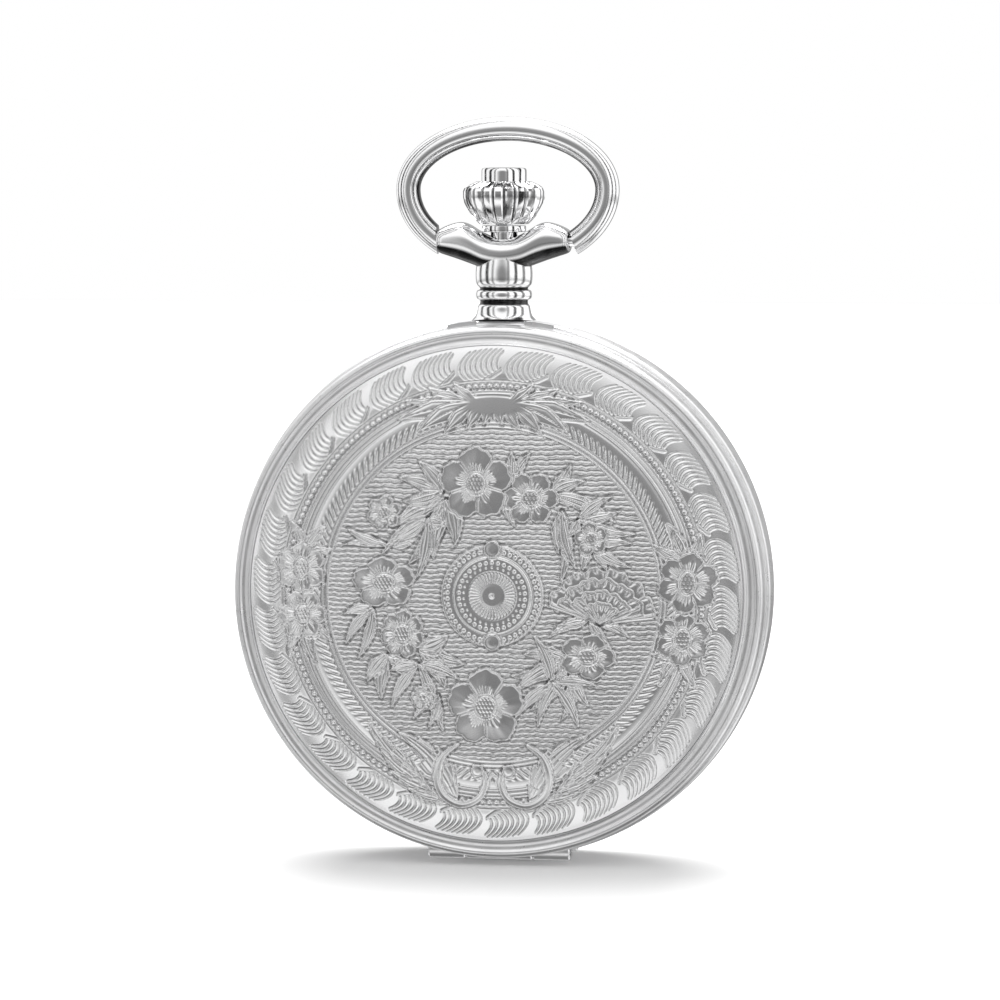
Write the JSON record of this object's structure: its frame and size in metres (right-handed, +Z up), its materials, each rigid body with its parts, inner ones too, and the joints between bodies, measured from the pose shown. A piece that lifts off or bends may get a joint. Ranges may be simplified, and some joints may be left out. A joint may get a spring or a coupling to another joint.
{
  "type": "hunter pocket watch",
  "caption": "Round hunter pocket watch with hinged engraved lids front and back, fluted crown with push-button, swinging bow and a wheel-train movement.",
  "frame": {"origin": "centre of the back cover's flat face, on the hands' axis", "axes": "+Z up through the crown and bow, +Y out of the back cover, -Y out of the front lid, +X to the right seen from the front"},
  "size_m": [0.047, 0.0136, 0.0643],
  "materials": {
    "silver": "polished",
    "engraved_silver": "satin, engraved",
    "bright_steel": "polished",
    "spring_steel": "ground",
    "blued_steel": "blued",
    "nickel": "striped",
    "brass": "polished",
    "ruby": "polished",
    "enamel": "enamelled",
    "crystal": "clear"
  },
  "bodies": {
    "case": {"case_band": "silver", "pendant": "silver", "lid_hinge_pin": "bright_steel", "back_hinge_pin": "bright_steel", "bezel": "silver", "crystal": "crystal", "movement_ring": "nickel", "main_plate": "nickel", "barrel_bridge": "nickel", "train_bridge": "nickel", "balance_cock": "nickel", "pallet_bridge": "nickel", "barrel_bridge_screw_1": "blued_steel", "barrel_bridge_screw_2": "blued_steel", "train_bridge_screw_1": "blued_steel", "train_bridge_screw_2": "blued_steel", "balance_cock_screw": "blued_steel", "third_jewel": "ruby", "fourth_jewel": "ruby", "escape_jewel": "ruby", "balance_jewel": "ruby", "dial": "enamel", "click_spring": "spring_steel", "hairspring": "blued_steel"},
    "front_lid": {"front_lid": "engraved_silver"},
    "back_cover": {"back_cover": "engraved_silver"},
    "bow": {"bow": "silver"},
    "crown_sleeve": {"crown_sleeve": "silver"},
    "crown": {"crown": "silver", "crown_stem": "bright_steel"},
    "push_button": {"push_button": "silver"},
    "sliding_clutch": {"sliding_clutch": "bright_steel"},
    "lock_spring": {"lock_spring": "spring_steel"},
    "lift_spring": {"lift_spring": "spring_steel"},
    "winding_pinion": {"winding_pinion": "bright_steel"},
    "crown_wheel": {"crown_wheel": "bright_steel"},
    "ratchet": {"ratchet_wheel": "bright_steel", "ratchet_screw": "blued_steel", "barrel_arbor": "bright_steel"},
    "click": {"click": "bright_steel"},
    "setting_lever": {"setting_lever": "bright_steel"},
    "yoke": {"yoke": "bright_steel"},
    "barrel": {"mainspring_barrel": "brass", "mainspring": "spring_steel"},
    "center_wheel": {"center_wheel": "brass"},
    "minute_hand": {"cannon_pinion": "bright_steel", "minute_hand": "blued_steel"},
    "minute_wheel": {"minute_wheel": "brass"},
    "hour_hand": {"hour_wheel": "brass", "hour_hand": "blued_steel"},
    "third_wheel": {"third_wheel": "brass"},
    "fourth_wheel": {"fourth_wheel": "brass", "second_hand": "blued_steel"},
    "escape_wheel": {"escape_wheel": "bright_steel"},
    "pallet_fork": {"pallet_fork": "bright_steel"},
    "balance_wheel": {"balance_wheel": "brass"}
  },
  "joints": [
    {"name": "lid_hinge", "type": "hinge", "parent": "case", "child": "front_lid", "pos_m": [0, -0.0091, -0.0226], "axis": [1, 0, 0], "range_deg": [0, 95]},
    {"name": "back_hinge", "type": "hinge", "parent": "case", "child": "back_cover", "pos_m": [0, -0.0041, -0.0226], "axis": [-1, 0, 0], "range_deg": [0, 95]},
    {"name": "bow_pivot", "type": "hinge", "parent": "case", "child": "bow", "pos_m": [0, -0.0066, 0.0302], "axis": [1, 0, 0], "range_deg": [-90, 90]},
    {"name": "crown_pull", "type": "slide", "parent": "case", "child": "crown_sleeve", "axis": [0, 0, 1], "range_m": [0, 0.0009]},
    {"name": "crown_spin", "type": "hinge", "parent": "crown_sleeve", "child": "crown", "pos_m": [0, -0.0066, 0.032], "axis": [0, 0, 1], "continuous": true},
    {"name": "button_press", "type": "slide", "parent": "crown", "child": "push_button", "axis": [0, 0, -1], "range_m": [0, 0.0006], "stiffness_N_per_m": 200, "springref_m": -0.0005},
    {"name": "clutch_slide", "type": "slide", "parent": "crown", "child": "sliding_clutch", "axis": [0, 0, 1], "range_m": [-0.00142, 0]},
    {"name": "lock_flex", "type": "hinge", "parent": "case", "child": "lock_spring", "pos_m": [0.01013, -0.0075, 0.01754], "axis": [0, -1, 0], "range_deg": [0, 2.1]},
    {"name": "lift_flex", "type": "hinge", "parent": "case", "child": "lift_spring", "pos_m": [-0.00693, -0.0072, -0.01903], "axis": [-0.342, 0, -0.9397], "range_deg": [0, 3.1]},
    {"name": "winding_pinion_spin", "type": "hinge", "parent": "case", "child": "winding_pinion", "pos_m": [0, -0.0066, 0.014], "axis": [0, 0, 1], "continuous": true},
    {"name": "crown_wheel_spin", "type": "hinge", "parent": "case", "child": "crown_wheel", "pos_m": [0, -0.0035, 0.0102], "axis": [0, 1, 0], "continuous": true},
    {"name": "ratchet_spin", "type": "hinge", "parent": "case", "child": "ratchet", "pos_m": [0.00852, -0.0035, 0.00228], "axis": [0, 1, 0], "continuous": true},
    {"name": "click_rock", "type": "hinge", "parent": "case", "child": "click", "pos_m": [0.00692, -0.0024, 0.01134], "axis": [0, -1, 0], "range_deg": [0, 12], "stiffness_Nm_per_rad": 0.000001},
    {"name": "setting_lever_turn", "type": "hinge", "parent": "case", "child": "setting_lever", "pos_m": [-0.0042, -0.0071, 0.0142], "axis": [0, -1, 0], "range_deg": [0, 14]},
    {"name": "yoke_turn", "type": "hinge", "parent": "case", "child": "yoke", "pos_m": [0.005, -0.0071, 0.0102], "axis": [0, -1, 0], "range_deg": [0, 7.5]},
    {"name": "fourth_spin", "type": "hinge", "parent": "case", "child": "fourth_wheel", "pos_m": [0, -0.0052, -0.0102], "axis": [0, 1, 0], "continuous": true},
    {"name": "third_spin", "type": "hinge", "parent": "case", "child": "third_wheel", "pos_m": [0.00495, -0.0052, -0.00584], "axis": [0, 1, 0], "continuous": true},
    {"name": "center_spin", "type": "hinge", "parent": "case", "child": "center_wheel", "pos_m": [0, -0.0052, 0], "axis": [0, 1, 0], "continuous": true},
    {"name": "minute_hand_turn", "type": "hinge", "parent": "case", "child": "minute_hand", "pos_m": [0, -0.0085, 0], "axis": [0, 1, 0], "continuous": true},
    {"name": "barrel_spin", "type": "hinge", "parent": "case", "child": "barrel", "pos_m": [0.00852, -0.0052, 0.00228], "axis": [0, 1, 0], "continuous": true},
    {"name": "escape_spin", "type": "hinge", "parent": "case", "child": "escape_wheel", "pos_m": [-0.00539, -0.0052, -0.0121], "axis": [0, 1, 0], "continuous": true},
    {"name": "minute_wheel_turn", "type": "hinge", "parent": "case", "child": "minute_wheel", "pos_m": [0.00199, -0.0085, 0.00167], "axis": [0, 1, 0], "continuous": true},
    {"name": "hour_hand_turn", "type": "hinge", "parent": "case", "child": "hour_hand", "pos_m": [0, -0.0085, 0], "axis": [0, 1, 0], "continuous": true},
    {"name": "pallet_rock", "type": "hinge", "parent": "case", "child": "pallet_fork", "pos_m": [-0.00652, -0.0055, -0.00831], "axis": [0, 1, 0], "range_deg": [-4, 4]},
    {"name": "balance_swing", "type": "hinge", "parent": "case", "child": "balance_wheel", "pos_m": [-0.0094, -0.0044, -0.0046], "axis": [0, 1, 0], "range_deg": [-270, 270], "stiffness_Nm_per_rad": 0.0000005}
  ],
  "couplings": [
    {"joint": "clutch_slide", "follows": "crown_pull", "ratio": -1.5556},
    {"joint": "lock_flex", "follows": "button_press", "rad_per_m": 58},
    {"joint": "lift_flex", "follows": "lid_hinge", "ratio": 0.0315},
    {"joint": "winding_pinion_spin", "follows": "crown_spin", "ratio": 1},
    {"joint": "crown_wheel_spin", "follows": "crown_spin", "ratio": -0.41667},
    {"joint": "ratchet_spin", "follows": "crown_spin", "ratio": 0.30702},
    {"joint": "setting_lever_turn", "follows": "crown_pull", "rad_per_m": 266.6},
    {"joint": "yoke_turn", "follows": "crown_pull", "rad_per_m": 138.8},
    {"joint": "third_spin", "follows": "fourth_spin", "ratio": -0.13333},
    {"joint": "center_spin", "follows": "fourth_spin", "ratio": 0.016667},
    {"joint": "minute_hand_turn", "follows": "fourth_spin", "ratio": 0.016667},
    {"joint": "barrel_spin", "follows": "fourth_spin", "ratio": -0.0027778},
    {"joint": "escape_spin", "follows": "fourth_spin", "ratio": -10},
    {"joint": "minute_wheel_turn", "follows": "fourth_spin", "ratio": -0.0055556},
    {"joint": "hour_hand_turn", "follows": "fourth_spin", "ratio": 0.0013889}
  ]
}
